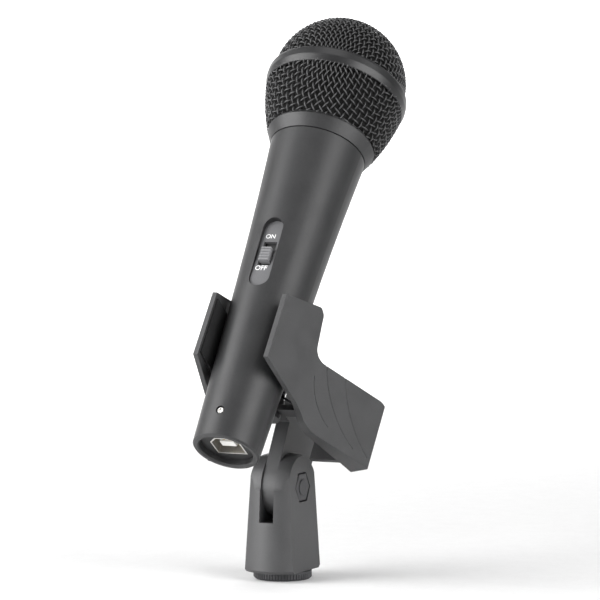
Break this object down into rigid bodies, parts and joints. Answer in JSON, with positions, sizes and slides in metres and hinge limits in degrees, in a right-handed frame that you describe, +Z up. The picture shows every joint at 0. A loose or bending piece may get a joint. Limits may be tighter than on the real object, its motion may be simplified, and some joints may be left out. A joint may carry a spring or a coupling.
{
  "type": "dynamic microphone in a spring clip",
  "caption": "Handheld dynamic microphone with ball grille, slide switch and tail socket, held in a sprung jaw clip on a tilting swivel base with a stand thread.",
  "frame": {"origin": "mouth of the stand thread, at the bottom centre of the thread adapter", "axes": "+Z up along the stand thread, +X along the swivel bolt, the microphone's head leans toward +Y"},
  "size_m": [0.0672, 0.1316, 0.212],
  "materials": {
    "metal_paint": "satin charcoal paint on die-cast zinc",
    "mesh_black": "black woven steel wire",
    "ring_satin": "satin dark grey paint",
    "foam": "open-cell foam",
    "rubber": "matt black rubber",
    "black_plastic": "matt black moulding",
    "steel": "bare steel",
    "brass": "plain",
    "clear_film": "thin formed film",
    "switch_grey": "fine matt grey",
    "slider_grey": "matt light grey",
    "board_green": "solder mask",
    "aluminium": "drawn can",
    "nickel": "nickel plate",
    "white_plastic": "white moulding",
    "clip_plastic": "fine-grained dark grey moulding",
    "black_steel": "black oxide"
  },
  "bodies": {
    "adapter": {"thread_adapter": "black_steel"},
    "base": {"swivel_base": "clip_plastic", "thread_insert": "brass", "pivot_bolt": "black_steel", "pivot_nut": "black_steel"},
    "stem": {"stem": "clip_plastic", "hinge_pin": "steel", "torsion_spring": "steel"},
    "right_jaw": {"right_jaw": "clip_plastic", "right_pad": "rubber"},
    "left_jaw": {"left_jaw": "clip_plastic", "left_pad": "rubber"},
    "microphone": {"handle": "metal_paint", "collar": "metal_paint", "grille_bowl": "mesh_black", "grille_dome": "mesh_black", "grille_ring": "ring_satin", "foam_liner": "foam", "shock_mount": "rubber", "capsule_cup": "black_plastic", "yoke": "steel", "magnet": "steel", "pole_piece": "steel", "voice_coil": "brass", "diaphragm": "clear_film", "face_plate": "black_plastic", "clamp_ring": "black_plastic", "switch_plate": "switch_grey", "switch_body": "black_plastic", "circuit_board": "board_green", "converter_chip": "black_plastic", "crystal_can": "steel", "capacitors": "aluminium", "capsule_leads": "brass", "tail_insert": "black_plastic", "socket_shell": "nickel", "socket_core": "white_plastic", "socket_contacts": "brass", "tail_screw": "nickel"},
    "slider": {"switch_slider": "slider_grey"}
  },
  "joints": [
    {"name": "stand_swivel", "type": "hinge", "parent": "adapter", "child": "base", "pos_m": [0, 0, 0], "axis": [0, 0, 1], "continuous": true},
    {"name": "clip_tilt", "type": "hinge", "parent": "base", "child": "stem", "pos_m": [0, 0, 0.0347], "axis": [1, 0, 0], "range_deg": [-50, 65]},
    {"name": "right_jaw_squeeze", "type": "hinge", "parent": "stem", "child": "right_jaw", "pos_m": [0, -0.00457, 0.071], "axis": [0, 0.5807, 0.8141], "range_deg": [0, 9], "stiffness_Nm_per_rad": 0.8, "springref_deg": -34.38, "deforming": ["torsion_spring"]},
    {"name": "left_jaw_squeeze", "type": "hinge", "parent": "stem", "child": "left_jaw", "pos_m": [0, -0.00457, 0.071], "axis": [0, 0.5807, 0.8141], "range_deg": [-9, 0]},
    {"name": "microphone_slide", "type": "slide", "parent": "stem", "child": "microphone", "axis": [0, 0.5807, 0.8141], "range_m": [0, 0.12]},
    {"name": "switch_slide", "type": "slide", "parent": "microphone", "child": "slider", "axis": [0, 0.5807, 0.8141], "range_m": [0, 0.0025]}
  ],
  "couplings": [
    {"joint": "left_jaw_squeeze", "follows": "right_jaw_squeeze", "ratio": -1}
  ]
}
